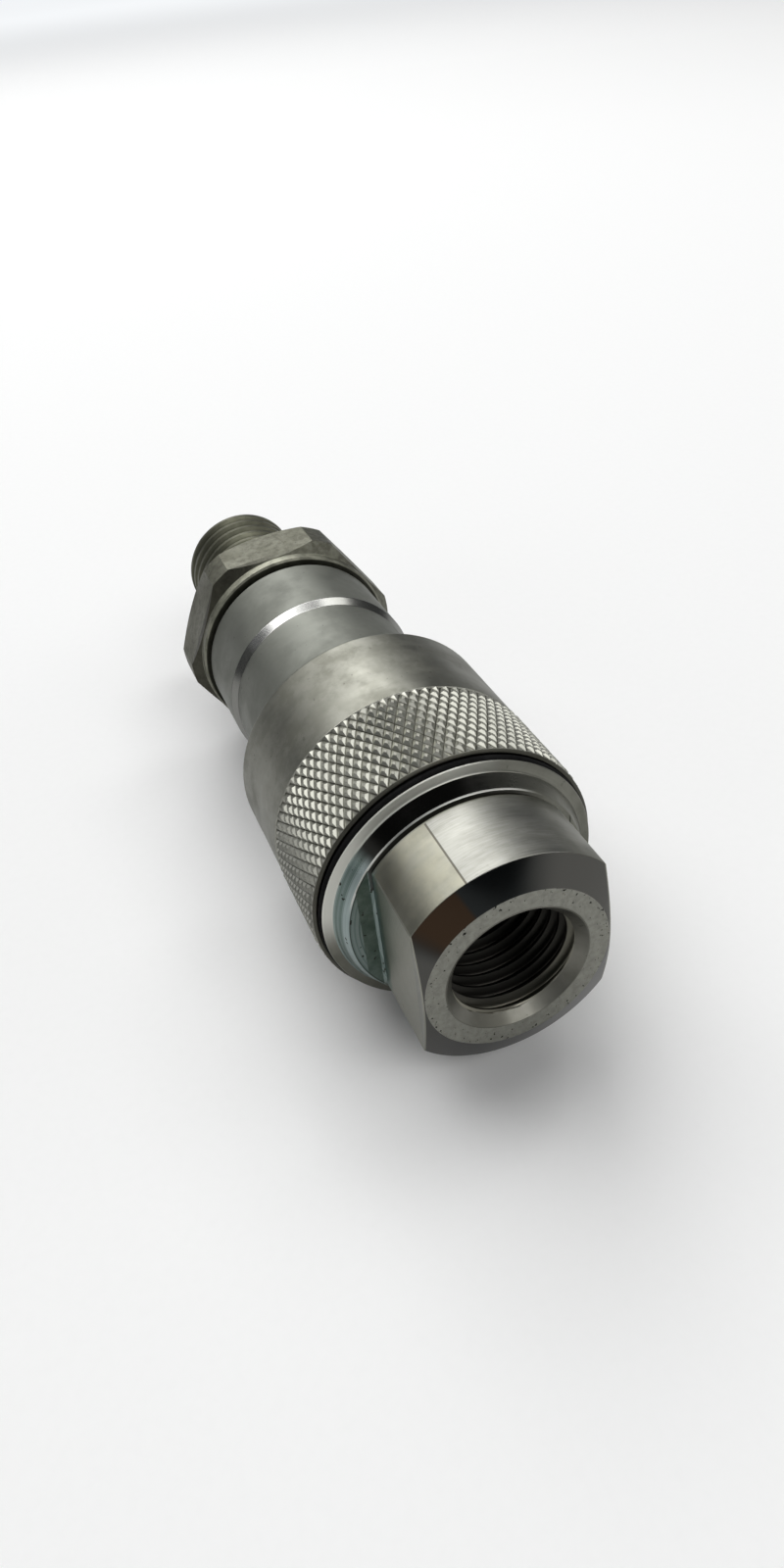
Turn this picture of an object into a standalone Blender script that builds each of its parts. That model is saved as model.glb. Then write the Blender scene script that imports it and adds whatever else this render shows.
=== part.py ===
"""Quick disconnect coupler with its plug half inserted, built around one axis.

The axis is +X: port face at x = 0, tube stub at the far end. +Z is up, and the
wrench flats of the port body face +Y and -Y. The sleeve is shown pulled back,
so the balls are free and the plug can leave. Lengths below are millimetres.
"""

import math

import bmesh
import bpy
from mathutils import Matrix, Vector

MM = 0.001
STEPS = 36
SMALL_STEPS = 24
SHARP_ANGLE = math.radians(25)

# Port body
PORT_R = 12.25
PORT_FACE_R = 9.25
FLATS_ACROSS = 19.0
FLATS_END = 10.5
MOUTH_R = 7.2
THREAD_BORE_R = 6.2
COLLAR_FACE = 12.25
COLLAR_R = 14.3
COLLAR_END = 18.5
POCKET_FLOOR = 15.0

# Socket body
SOCKET_R = 10.7
SOCKET_BORE_R = 8.45
SOCKET_FRONT = 36.9
SEAT_PLATE = 19.8

# Locking balls
BALL_COUNT = 8
BALL_R = 1.75
BALL_X = 29.0
BALL_OUT_R = 10.2
BALL_TRAVEL = 1.25

# Sleeve
SLEEVE_REAR = 13.4
SLEEVE_FRONT = 37.4
KNURL_R = 15.19
KNURL_END = 25.2
BAND_R = 15.09

# Plug body
NOSE_R = 8.3
NOSE_X = 21.7
SHOULDER_X = 37.1
PLUG_R = 11.45
REAR_R = 12.0
RING_X = 51.8
PLUG_END = 62.8

# Tube adapter
HEX_ACROSS = 25.5
HEX_TURNED_R = 14.0
HEX_CORNER_DEG = -26.0
HEX_FRONT = 64.4
HEX_REAR = 71.5
HEX_FACE_R = 12.65
STUB_R = 8.0
STUB_END = 91.3
STUB_BORE_R = 4.0

# Valves
STEM_R = 1.5
STEM_HOLE_R = 1.6

TURNED_TO_AXIS = Matrix.Rotation(math.pi / 2, 4, "Y")


def clear_scene():
    for item in list(bpy.data.objects):
        bpy.data.objects.remove(item, do_unlink=True)


def make_collection(name):
    found = bpy.data.collections.new(name)
    bpy.context.scene.collection.children.link(found)
    return found


def make_material(name, color, metallic, roughness):
    material = bpy.data.materials.new(name)
    material.use_nodes = True
    shader = material.node_tree.nodes["Principled BSDF"]
    shader.inputs["Base Color"].default_value = (*color, 1.0)
    shader.inputs["Metallic"].default_value = metallic
    shader.inputs["Roughness"].default_value = roughness
    return material


def add_object(name, data, look):
    found = bpy.data.objects.new(name, data)
    PARTS.objects.link(found)
    data.materials.append(make_material(name, *look))
    return found


def turned(name, look, outer, inner=None, steps=STEPS):
    """A body of revolution. Each point is (x, radius), listed from low x to high x."""
    outline = list(reversed(outer)) + (inner or [])
    points = [Vector((radius * MM, 0, along * MM)) for along, radius in outline]
    edges = [(i, i + 1) for i in range(len(points) - 1)]
    if inner:
        edges.append((len(points) - 1, 0))
    data = bpy.data.meshes.new(name)
    data.from_pydata(points, edges, [])
    found = add_object(name, data, look)
    found.matrix_world = TURNED_TO_AXIS
    screw = found.modifiers.new("Turn", "SCREW")
    screw.axis = "Z"
    screw.steps = steps
    screw.render_steps = steps
    screw.use_merge_vertices = True
    screw.merge_threshold = 1e-6
    return found


def cutter(name, mesh):
    data = bpy.data.meshes.new(name)
    mesh.to_mesh(data)
    mesh.free()
    found = bpy.data.objects.new(name, data)
    found.hide_render = True
    found.display_type = "WIRE"
    CUTTERS.objects.link(found)
    return found


def cut(target, tool):
    boolean = target.modifiers.new(tool.name, "BOOLEAN")
    boolean.operation = "DIFFERENCE"
    boolean.solver = "EXACT"
    boolean.object = tool


def box_into(mesh, low, high):
    """Adds a box between two corners, in millimetres."""
    low, high = Vector(low) * MM, Vector(high) * MM
    size = Matrix.Diagonal((*(high - low), 1.0))
    place = Matrix.Translation((low + high) / 2) @ size
    bmesh.ops.create_cube(mesh, size=1.0, matrix=place)


def cone_into(mesh, start_r, end_r, length, place, sides=16):
    """Adds a cone along local +Z, from start_r to end_r, in millimetres."""
    lift = Matrix.Translation((0, 0, length * MM / 2))
    bmesh.ops.create_cone(
        mesh,
        cap_ends=True,
        segments=sides,
        radius1=start_r * MM,
        radius2=end_r * MM,
        depth=length * MM,
        matrix=place @ lift,
    )


def around_axis(degrees):
    """Turns +Z about the X axis, towards +Y."""
    return Matrix.Rotation(math.radians(-degrees), 4, "X")


def flow_holes(target, name, x_low, x_high, ring_r, hole_r, count=6):
    mesh = bmesh.new()
    for index in range(count):
        centre = Matrix.Translation((x_low * MM, 0, ring_r * MM))
        place = around_axis(index * 360 / count) @ centre @ TURNED_TO_AXIS
        cone_into(mesh, hole_r, hole_r, x_high - x_low, place, 12)
    cut(target, cutter(name, mesh))


def ring_gap(target, name, x_low, x_high, r_high, width):
    mesh = bmesh.new()
    box_into(mesh, (x_low, -width / 2, 0), (x_high, width / 2, r_high))
    cut(target, cutter(name, mesh))


def coil(name, look, x_low, x_high, mean_r, wire_r, turns, per_turn=20):
    """A round-wire compression spring with capped ends."""
    data = bpy.data.curves.new(name, "CURVE")
    data.dimensions = "3D"
    data.resolution_u = 1
    data.bevel_depth = wire_r * MM
    data.bevel_resolution = 1
    data.use_fill_caps = True
    count = int(turns * per_turn) + 1
    spline = data.splines.new("POLY")
    spline.points.add(count - 1)
    for index, point in enumerate(spline.points):
        part = index / (count - 1)
        angle = part * turns * 2 * math.pi
        along = x_low + part * (x_high - x_low)
        across = (mean_r * math.sin(angle), mean_r * math.cos(angle))
        point.co = (along * MM, across[0] * MM, across[1] * MM, 1.0)
    return add_object(name, data, look)


def o_ring(name, look, x, mean_r, wire_r):
    points = []
    for index in range(8):
        angle = 2 * math.pi * index / 8
        points.append((x - wire_r * math.cos(angle), mean_r + wire_r * math.sin(angle)))
    return turned(name, look, points[:5], list(reversed(points[5:])), SMALL_STEPS)


def build_port_body():
    body = turned(
        "port_body",
        STEEL,
        [
            (0, PORT_FACE_R),
            (1.3, PORT_R),
            (10.3, PORT_R),
            (10.6, 12.6),
            (COLLAR_FACE, 13.47),
            (12.42, 14.5),
            (12.5, 14.55),
            (12.5, 13.65),
            (13.3, 13.65),
            (13.3, COLLAR_R),
            (COLLAR_END - 0.2, COLLAR_R),
            (COLLAR_END, COLLAR_R - 0.2),
            (COLLAR_END, 13.2),
            (POCKET_FLOOR, 13.2),
            (POCKET_FLOOR, 10.9),
            (18.0, 10.9),
            (18.0, 9.6),
        ],
        [(0, MOUTH_R), (0.95, THREAD_BORE_R), (12.0, THREAD_BORE_R), (12.0, 9.6)],
    )
    flats = bmesh.new()
    half = FLATS_ACROSS / 2
    box_into(flats, (-1, half, -20), (FLATS_END, 20, 20))
    box_into(flats, (-1, -20, -20), (FLATS_END, -half, 20))
    cut(body, cutter("wrench_flats_cut", flats))
    o_ring("body_seal", RUBBER, 16.25, 8.94, 0.58)
    turned(
        "buffer_ring",
        RUBBER,
        [(12.56, 14.5), (12.66, 14.6), (12.8, 14.7), (13.25, 14.7)],
        [(12.56, 13.7), (13.25, 13.7)],
    )


def build_socket_body():
    body = turned(
        "socket_body",
        STEEL,
        [
            (13.8, 9.3),
            (14.0, 9.5),
            (15.5, 9.5),
            (15.5, 8.3),
            (17.0, 8.3),
            (17.0, 9.5),
            (18.1, 9.5),
            (18.1, SOCKET_R),
            (35.5, SOCKET_R),
            (35.5, 10.2),
            (36.3, 10.2),
            (36.3, SOCKET_R),
            (36.6, SOCKET_R),
            (SOCKET_FRONT, 10.4),
        ],
        [
            (13.8, 7.6),
            (SEAT_PLATE, 7.6),
            (SEAT_PLATE, 6.3),
            (SEAT_PLATE + 1.3, 5.0),
            (SEAT_PLATE + 1.7, 5.0),
            (SEAT_PLATE + 1.7, SOCKET_BORE_R),
            (23.6, SOCKET_BORE_R),
            (23.6, 9.95),
            (26.2, 9.95),
            (26.2, SOCKET_BORE_R),
            (36.3, SOCKET_BORE_R),
            (SOCKET_FRONT, 9.1),
        ],
    )
    holes = bmesh.new()
    for index in range(BALL_COUNT):
        radial = around_axis(index * 360 / BALL_COUNT)
        inner = Matrix.Translation((BALL_X * MM, 0, 7.7 * MM))
        cone_into(holes, 1.59, 1.85, 1.5, radial @ inner)
    cut(body, cutter("ball_seats_cut", holes))
    outer_holes = bmesh.new()
    for index in range(BALL_COUNT):
        radial = around_axis(index * 360 / BALL_COUNT)
        outer = Matrix.Translation((BALL_X * MM, 0, 9.15 * MM))
        cone_into(outer_holes, 1.85, 1.85, 3.0, radial @ outer)
    cut(body, cutter("ball_holes_cut", outer_holes))


def build_socket_rings():
    o_ring("plug_seal_ring", RUBBER, 24.45, 9.115, 0.73)
    turned(
        "backup_ring",
        POLYMER,
        [(25.35, 9.82), (26.1, 9.82)],
        [(25.35, 8.5), (26.1, 8.5)],
        SMALL_STEPS,
    )
    ring = turned(
        "sleeve_retaining_ring",
        SPRING_STEEL,
        [(35.55, 11.9), (36.25, 11.9)],
        [(35.55, 10.27), (36.25, 10.27)],
    )
    ring_gap(ring, "retaining_ring_cut", 35, 37, 13, 3.0)


def build_socket_valve():
    guide = turned(
        "socket_valve_guide",
        STEEL,
        [(12.15, 9.4), (13.6, 9.4), (13.6, 2.4), (15.2, 2.4)],
        [(12.15, STEM_HOLE_R), (15.2, STEM_HOLE_R)],
        SMALL_STEPS,
    )
    flow_holes(guide, "socket_guide_cut", 11.5, 14.5, 4.6, 1.7)
    turned(
        "socket_poppet",
        STEEL,
        [
            (11.0, 0),
            (11.0, 1.2),
            (11.3, STEM_R),
            (18.0, STEM_R),
            (18.0, 4.4),
            (16.6, 4.4),
            (16.6, 6.3),
            (17.2, 6.3),
            (17.45, 6.05),
            (17.45, 4.9),
            (18.6, 4.9),
            (18.6, 3.0),
            (21.4, 3.0),
            (21.7, 2.7),
            (21.7, 0),
        ],
        steps=SMALL_STEPS,
    )
    turned(
        "socket_poppet_seal",
        RUBBER,
        [(17.5, 5.95), (18.5, 4.95)],
        [(17.5, 4.95)],
        SMALL_STEPS,
    )
    coil("socket_valve_spring", SPRING_STEEL, 14.05, 17.55, 3.5, 0.33, 3.5, 16)


def build_sleeve():
    turned(
        "sleeve",
        STEEL,
        [
            (SLEEVE_REAR, 14.8),
            (SLEEVE_REAR + 0.25, 15.1),
            (SLEEVE_REAR + 0.5, KNURL_R),
            (KNURL_END, KNURL_R),
            (KNURL_END + 0.1, BAND_R),
            (SLEEVE_FRONT - 0.4, BAND_R),
            (SLEEVE_FRONT, 14.7),
        ],
        [
            (SLEEVE_REAR, 14.62),
            (19.8, 14.62),
            (19.8, 12.9),
            (23.6, 12.9),
            (23.6, 10.95),
            (BALL_X - 3.33, 10.95),
            (BALL_X + 0.17, 10.95 + BALL_TRAVEL),
            (31.0, 12.2),
            (31.0, 10.95),
            (31.9, 10.95),
            (31.9, 12.3),
            (SLEEVE_FRONT - 0.2, 12.3),
            (SLEEVE_FRONT, 12.5),
        ],
    )
    turned(
        "sleeve_spring_seat",
        SPRING_STEEL,
        [(22.75, 12.7), (23.5, 12.7)],
        [(22.75, 10.9), (23.5, 10.9)],
    )
    coil("sleeve_spring", SPRING_STEEL, 15.7, 22.05, 12.0, 0.58, 4.5, 26)


def build_balls():
    for index in range(BALL_COUNT):
        data = bpy.data.meshes.new(f"ball_{index + 1}")
        mesh = bmesh.new()
        bmesh.ops.create_uvsphere(
            mesh, u_segments=14, v_segments=8, radius=BALL_R * MM
        )
        mesh.to_mesh(data)
        mesh.free()
        ball = add_object(data.name, data, BEARING_STEEL)
        centre = Matrix.Translation((BALL_X * MM, 0, BALL_OUT_R * MM))
        ball.matrix_world = around_axis(index * 360 / BALL_COUNT) @ centre


def build_plug_body():
    turned(
        "plug_body",
        STEEL,
        [
            (NOSE_X, 7.6),
            (NOSE_X + 0.7, NOSE_R),
            (BALL_X - 1.97, NOSE_R),
            (BALL_X - 0.72, NOSE_R - BALL_TRAVEL),
            (BALL_X + 0.72, NOSE_R - BALL_TRAVEL),
            (BALL_X + 1.97, NOSE_R),
            (SHOULDER_X, NOSE_R),
            (SHOULDER_X, 10.9),
            (SHOULDER_X + 0.5, PLUG_R),
            (RING_X, PLUG_R),
            (RING_X + 1.0, REAR_R),
            (PLUG_END - 0.3, REAR_R),
            (PLUG_END, REAR_R - 0.3),
        ],
        [
            (NOSE_X, 4.2),
            (NOSE_X + 0.2, 4.2),
            (NOSE_X + 1.6, 5.6),
            (NOSE_X + 1.6, 6.0),
            (36.0, 6.0),
            (36.0, 7.2),
            (37.75, 7.2),
            (37.75, 7.9),
            (38.75, 7.9),
            (38.75, 7.2),
            (53.0, 7.2),
            (53.0, 9.1),
            (PLUG_END - 0.5, 9.1),
            (PLUG_END, 9.6),
        ],
    )


def build_plug_valve():
    guide = turned(
        "plug_valve_guide",
        STEEL,
        [(33.8, 2.4), (36.15, 2.4), (36.15, 7.0), (37.6, 7.0)],
        [(33.8, STEM_HOLE_R), (37.6, STEM_HOLE_R)],
        SMALL_STEPS,
    )
    flow_holes(guide, "plug_guide_cut", 35.5, 38.5, 4.3, 1.45)
    clip = turned(
        "guide_circlip",
        SPRING_STEEL,
        [(37.85, 7.8), (38.65, 7.8)],
        [(37.85, 6.6), (38.65, 6.6)],
        SMALL_STEPS,
    )
    ring_gap(clip, "circlip_cut", 37, 39, 9, 3.0)
    turned(
        "plug_poppet",
        STEEL,
        [
            (21.85, 0),
            (21.85, 2.3),
            (22.15, 2.6),
            (24.0, 2.6),
            (24.0, 3.7),
            (25.15, 3.7),
            (25.15, 4.85),
            (25.3, 5.0),
            (26.3, 5.0),
            (26.3, STEM_R),
            (40.2, STEM_R),
            (40.5, 1.2),
            (40.5, 0),
        ],
        steps=SMALL_STEPS,
    )
    turned(
        "plug_poppet_seal",
        RUBBER,
        [(24.1, 3.75), (25.1, 4.75)],
        [(25.1, 3.75)],
        SMALL_STEPS,
    )
    coil("plug_valve_spring", SPRING_STEEL, 26.85, 35.6, 3.6, 0.43, 6.5, 16)


def build_adapter():
    adapter = turned(
        "plug_adapter",
        DARK_STEEL,
        [
            (53.4, 8.6),
            (53.8, 9.0),
            (55.0, 9.0),
            (55.0, 7.8),
            (56.8, 7.8),
            (56.8, 9.0),
            (63.1, 9.0),
            (63.1, 12.35),
            (63.4, HEX_FACE_R),
            (HEX_FRONT, HEX_FACE_R),
            (HEX_FRONT + 1.2, HEX_TURNED_R),
            (HEX_REAR - 1.2, HEX_TURNED_R),
            (HEX_REAR, HEX_FACE_R),
            (HEX_REAR, 7.1),
            (HEX_REAR + 1.6, 7.1),
            (HEX_REAR + 2.5, STUB_R),
            (STUB_END - 0.9, STUB_R),
            (STUB_END, 7.1),
        ],
        [
            (53.4, 5.4),
            (54.8, STUB_BORE_R),
            (80.0, STUB_BORE_R),
            (80.0, 5.05),
            (STUB_END - 5.1, 5.05),
            (STUB_END, 6.13),
        ],
    )
    cut(adapter, hexagon_cutter())
    o_ring("adapter_seal", RUBBER, 55.9, 8.44, 0.58)


def hexagon_cutter():
    """A ring whose hole is the hexagon, as long as the hexagon."""
    corner = HEX_ACROSS / math.sqrt(3)
    mesh = bmesh.new()
    rings = []
    for radius in (corner, 25.0):
        for along in (HEX_FRONT - 0.05, HEX_REAR + 0.05):
            ring = []
            for index in range(6):
                place = around_axis(HEX_CORNER_DEG + 60 * index)
                ring.append(mesh.verts.new(place @ Vector((along * MM, 0, radius * MM))))
            rings.append(ring)
    near_in, far_in, near_out, far_out = rings
    for index in range(6):
        after = (index + 1) % 6
        for low, high in (
            (near_in, far_in),
            (far_in, far_out),
            (far_out, near_out),
            (near_out, near_in),
        ):
            mesh.faces.new((low[index], low[after], high[after], high[index]))
    bmesh.ops.recalc_face_normals(mesh, faces=mesh.faces)
    return cutter("hexagon_cut", mesh)


def apply_and_smooth():
    """Applies the modifiers and shades each part smooth, apart from its sharp edges."""
    graph = bpy.context.evaluated_depsgraph_get()
    for part in PARTS.objects:
        if part.type != "MESH":
            continue
        data = bpy.data.meshes.new_from_object(part.evaluated_get(graph))
        data.name = part.name
        data.shade_smooth()
        data.set_sharp_from_angle(angle=SHARP_ANGLE)
        part.modifiers.clear()
        part.data = data


STEEL = ((0.62, 0.6, 0.55), 1.0, 0.32)
DARK_STEEL = ((0.42, 0.41, 0.36), 1.0, 0.42)
SPRING_STEEL = ((0.5, 0.5, 0.5), 1.0, 0.35)
BEARING_STEEL = ((0.75, 0.75, 0.75), 1.0, 0.12)
RUBBER = ((0.02, 0.02, 0.02), 0.0, 0.6)
POLYMER = ((0.85, 0.84, 0.78), 0.0, 0.45)

clear_scene()
PARTS = make_collection("quick_disconnect_coupler")
CUTTERS = make_collection("cutters")
CUTTERS.hide_render = True

build_port_body()
build_socket_body()
build_socket_rings()
build_socket_valve()
build_sleeve()
build_balls()
build_plug_body()
build_plug_valve()
build_adapter()
apply_and_smooth()
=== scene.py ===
"""Looks of the quick disconnect coupler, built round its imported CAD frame.

Outlines are lists of (x, radius) in millimetres along the coupler's axis, +X.
"""

import math

import bmesh
import bpy
import numpy as np
from mathutils import Matrix, Vector


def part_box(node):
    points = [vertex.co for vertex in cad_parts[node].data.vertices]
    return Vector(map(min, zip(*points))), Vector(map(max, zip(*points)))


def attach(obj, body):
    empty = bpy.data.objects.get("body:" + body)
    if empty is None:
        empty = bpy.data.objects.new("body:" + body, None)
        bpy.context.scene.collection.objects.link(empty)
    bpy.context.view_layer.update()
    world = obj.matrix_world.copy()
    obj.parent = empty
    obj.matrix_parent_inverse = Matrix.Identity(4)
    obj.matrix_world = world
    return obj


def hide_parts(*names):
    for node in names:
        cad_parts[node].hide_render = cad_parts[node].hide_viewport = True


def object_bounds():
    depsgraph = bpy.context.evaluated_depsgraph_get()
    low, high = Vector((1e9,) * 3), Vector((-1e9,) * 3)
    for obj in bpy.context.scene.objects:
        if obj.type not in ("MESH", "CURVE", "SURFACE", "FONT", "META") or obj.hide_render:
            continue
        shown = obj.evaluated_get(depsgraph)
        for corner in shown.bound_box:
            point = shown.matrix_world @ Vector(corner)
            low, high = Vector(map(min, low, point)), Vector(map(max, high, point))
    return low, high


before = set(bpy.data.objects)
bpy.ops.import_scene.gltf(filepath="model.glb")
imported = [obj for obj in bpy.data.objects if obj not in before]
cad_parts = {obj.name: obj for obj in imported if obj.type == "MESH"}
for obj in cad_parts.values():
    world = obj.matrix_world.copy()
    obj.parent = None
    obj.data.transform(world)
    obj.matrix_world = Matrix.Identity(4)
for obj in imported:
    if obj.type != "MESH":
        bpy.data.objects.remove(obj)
CAD_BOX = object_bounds()

MM = 0.001
SEGMENTS = 168  # round the axis, on the pieces that show
FINE = 0.06  # how far the usual rounded corner reaches
SOFT = 0.12  # the same on the sleeve and the black ring

OLIVE = (0.25, 0.25, 0.214)
OLIVE_DARK = (0.19, 0.19, 0.158)
OLIVE_PALE = (0.3, 0.3, 0.262)


def span(node):
    """Lowest x, highest x and largest radius of a turned CAD node, in millimetres."""
    low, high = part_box(node)
    return low.x / MM, high.x / MM, high.z / MM


FACE_X, COLLAR_END, _ = span("port_body")
SLEEVE_REAR, SLEEVE_FRONT, KNURL_R = span("sleeve")
SOCKET_REAR, SOCKET_FRONT, SOCKET_R = span("socket_body")
NOSE_X, PLUG_END, REAR_R = span("plug_body")
SPIGOT_X, STUB_END, _ = span("plug_adapter")
FLOOR_Z = CAD_BOX[0].z

# Port body, from its face to the collar behind the flats
PORT_R = 12.25
PORT_FACE_R = 9.25
CHAMFER_END = 1.3
MOUTH_R = 7.2
MOUTH_DEPTH = 0.97
BORE_END = 12.0
FLAT_HALF = 9.5
FLATS_END = 10.5
FLAT_STEP = 11.15
GROOVE_R = 12.05
CONE_START = 10.6
CONE_END = 12.15
WALL_R = 13.5
RIM_X = 12.5
COLLAR_X = 13.3
COLLAR_R = 14.3
POCKET_X = 15.0
POCKET_R = 13.2
SPIGOT_R = 10.9
SCRIBE_DEG = 19.0

# Threads: pitch, radii, and the shares of the pitch that a crest and a flank take
PORT_PITCH = 1.5
PORT_CREST_R = 6.19
PORT_ROOT_R = 7.0
PORT_SHAPE = (0.19, 0.31)
PORT_LINER_R = 7.3
STUB_PITCH = 2.0
STUB_CREST_R = 8.0
STUB_ROOT_R = 7.08
STUB_SHAPE = (0.34, 0.26)

# Sleeve
KNURL_COUNT = 83
KNURL_ROWS = 11
KNURL_DEPTH = 0.3
KNURL_FLAT = 0.3
KNURL_START = SLEEVE_REAR + 0.26
KNURL_END = 25.2
BAND_R = KNURL_R - 0.1
SLEEVE_BORE_R = 10.95
SPRING_ROOM_R = 14.62
SPRING_ROOM_END = 19.8

# Socket body and its balls
SOCKET_BORE_R = 8.45
SEAT_X = 19.8
BALL_COUNT = 8
BALL_X = 29.0
BALL_R = 1.75
BALL_HOLE_R = BALL_R + 0.05
VALVE_STEM_R = 1.5

# Plug body
PLUG_NOSE_R = 8.3
PLUG_R = 11.45
PLUG_BORE_R = 7.2
RING_X = 51.8
RING_END = RING_X + 1.0

# Tube adapter
ADAPTER_R = 9.0
ADAPTER_BORE_R = 4.0
COLLAR_START = 63.1
HEX_ACROSS = 25.5
HEX_TURNED_R = 14.0
HEX_FACE_R = 12.65
HEX_CORNER_DEG = -26.0
HEX_FRONT = 64.4
HEX_REAR = 71.5
NECK_END = 72.8
TUBE_SEAT_R = 5.05


# ---------------- geometry


def rounded(outline, size=FINE, closed=True):
    """The outline with each corner replaced by a small curve that reaches this far from it."""
    steps = 3
    points = [Vector(point) for point in outline]
    count = len(points)
    made = []
    for index, point in enumerate(points):
        if not closed and index in (0, count - 1):
            made.append(tuple(point))
            continue
        before = points[index - 1] - point
        after = points[(index + 1) % count] - point
        reach = min(size, 0.45 * before.length, 0.45 * after.length)
        start = point + before.normalized() * reach
        end = point + after.normalized() * reach
        for step in range(steps + 1):
            part = step / steps
            curve = start * (1 - part) ** 2 + point * 2 * part * (1 - part) + end * part**2
            made.append(tuple(curve))
    return made


def angles(count=SEGMENTS):
    """Even angles round the axis."""
    return np.arange(count) * 2 * math.pi / count


def ring_points(along, radius, turn):
    """Points at these x, radii and angles, the angle going from +Y towards +Z."""
    parts = np.broadcast_arrays(along, radius * np.cos(turn), radius * np.sin(turn))
    return np.stack(parts, axis=-1) * MM


def grid_faces(rows, columns, wrap_rows=False, start=0):
    """Quads between rows of points, each row a closed ring."""
    faces = []
    for row in range(rows if wrap_rows else rows - 1):
        here = start + row * columns
        there = start + (row + 1) % rows * columns
        for column in range(columns):
            beside = (column + 1) % columns
            faces.append((here + column, here + beside, there + beside, there + column))
    return faces


def add_object(name, data):
    """A new object in the scene."""
    made = bpy.data.objects.new(name, data)
    bpy.context.scene.collection.objects.link(made)
    return made


def add_mesh(name, mesh):
    """A new object made of a bmesh, which is used up."""
    data = bpy.data.meshes.new(name)
    mesh.to_mesh(data)
    mesh.free()
    return add_object(name, data)


def finish_mesh(name, points, faces):
    """A mesh object with merged points, faces turned outwards and smooth shading."""
    merge = 2e-6
    data = bpy.data.meshes.new(name)
    data.from_pydata([tuple(point) for point in points], [], faces)
    mesh = bmesh.new()
    mesh.from_mesh(data)
    bmesh.ops.remove_doubles(mesh, verts=mesh.verts, dist=merge)
    bmesh.ops.dissolve_degenerate(mesh, edges=mesh.edges, dist=merge / 2)
    bmesh.ops.recalc_face_normals(mesh, faces=mesh.faces)
    mesh.to_mesh(data)
    mesh.free()
    data.shade_smooth()
    return add_object(name, data)


def weigh_normals(piece, sharp_degrees=40):
    """Keeps large faces flat beside their small rounded edges."""
    piece.data.set_sharp_from_angle(angle=math.radians(sharp_degrees))
    weighted = piece.modifiers.new("Even normals", "WEIGHTED_NORMAL")
    weighted.keep_sharp = True


def turned(name, outline, closed=True, size=FINE, segments=SEGMENTS):
    """A body of revolution. An open outline starts and ends on the axis."""
    profile = np.array(rounded(outline, size, closed))
    points = ring_points(profile[:, :1], profile[:, 1:], angles(segments))
    faces = grid_faces(len(profile), segments, wrap_rows=closed)
    piece = finish_mesh(name, points.reshape(-1, 3), faces)
    weigh_normals(piece)
    return piece


def around_axis(degrees):
    """Turns +Z about the X axis, towards +Y."""
    return Matrix.Rotation(math.radians(-degrees), 4, "X")


def bake(piece):
    """Applies the piece's modifiers."""
    graph = bpy.context.evaluated_depsgraph_get()
    data = bpy.data.meshes.new_from_object(piece.evaluated_get(graph))
    piece.modifiers.clear()
    piece.data = data


def cut(piece, mesh, edge):
    """Cuts the piece with a bmesh, then breaks every sharp edge by this much."""
    tool = add_mesh("cutter", mesh)
    piece.modifiers.clear()
    boolean = piece.modifiers.new("Cut", "BOOLEAN")
    boolean.operation = "DIFFERENCE"
    boolean.object = tool
    bake(piece)
    bpy.data.objects.remove(tool, do_unlink=True)
    bevel = piece.modifiers.new("Broken edges", "BEVEL")
    bevel.width = edge * MM
    bevel.segments = 3
    bevel.limit_method = "ANGLE"
    bevel.angle_limit = math.radians(24)
    bevel.use_clamp_overlap = True
    bake(piece)
    piece.data.shade_smooth()
    weigh_normals(piece)


def add_box(mesh, low, high):
    """Adds a box between two corners, in millimetres."""
    low = Vector(low) * MM
    high = Vector(high) * MM
    size = Matrix.Diagonal((*(high - low), 1.0))
    place = Matrix.Translation((low + high) / 2) @ size
    bmesh.ops.create_cube(mesh, size=1.0, matrix=place)


def add_prism(mesh, outline, half):
    """Adds an (x, y) outline drawn out to half this way and that along Z."""
    low, high = (
        [mesh.verts.new(Vector((x, y, z)) * MM) for x, y in outline] for z in (-half, half)
    )
    made = [mesh.faces.new(low), mesh.faces.new(high)]
    for index in range(len(outline)):
        after = (index + 1) % len(outline)
        made.append(mesh.faces.new((low[index], low[after], high[after], high[index])))
    bmesh.ops.recalc_face_normals(mesh, faces=made)


def add_cylinder(mesh, radius, length, place, sides=48):
    """Adds a cylinder along local +Z, in millimetres."""
    size = {"radius1": radius * MM, "radius2": radius * MM, "depth": length * MM}
    bmesh.ops.create_cone(mesh, cap_ends=True, segments=sides, matrix=place, **size)


def thread_shape(crest, flank):
    """One pitch as (share of the pitch, share of the depth), its corners softened."""
    down = crest + flank
    up = 1 - flank
    soft = 0.02
    return np.array([
        (0.0, 0.05), (soft, 0.0), (crest - soft, 0.0), (crest, 0.05),
        (crest + flank / 2, 0.5), (down - soft, 0.95), (down + soft, 1.0),
        (up - soft, 1.0), (up + soft, 0.95), (up + flank / 2, 0.5), (1.0, 0.05),
    ])


def thread_surface(low, high, pitch, crest_r, root_r, shape, limit):
    """Points and faces of a right-handed thread between two x.

    limit(x, radius) returns the radius that the thread is held to, for its runouts and chamfers.
    """
    shares, depths = thread_shape(*shape).T
    offsets = np.concatenate(
        [np.linspace(a, b, 2, endpoint=False) for a, b in zip(shares, shares[1:])]
    )
    turns = int(math.ceil((high - low) / pitch)) + 1
    starts = np.concatenate([(turn - 1 + offsets) * pitch for turn in range(turns + 1)])
    steps = np.arange(SEGMENTS + 1)[None, :]
    lead = pitch * steps / SEGMENTS
    along = np.clip(low + starts[:, None] + lead, low, high)
    share = ((along - low - lead) / pitch) % 1.0
    radius = crest_r + (root_r - crest_r) * np.interp(share, shares, depths)
    points = ring_points(along, limit(along, radius), steps * 2 * math.pi / SEGMENTS)
    wide = SEGMENTS + 1
    firsts = [
        row * wide + column for row in range(len(starts) - 1) for column in range(SEGMENTS)
    ]
    faces = [(first, first + 1, first + wide + 1, first + wide) for first in firsts]
    return points.reshape(-1, 3), faces


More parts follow.
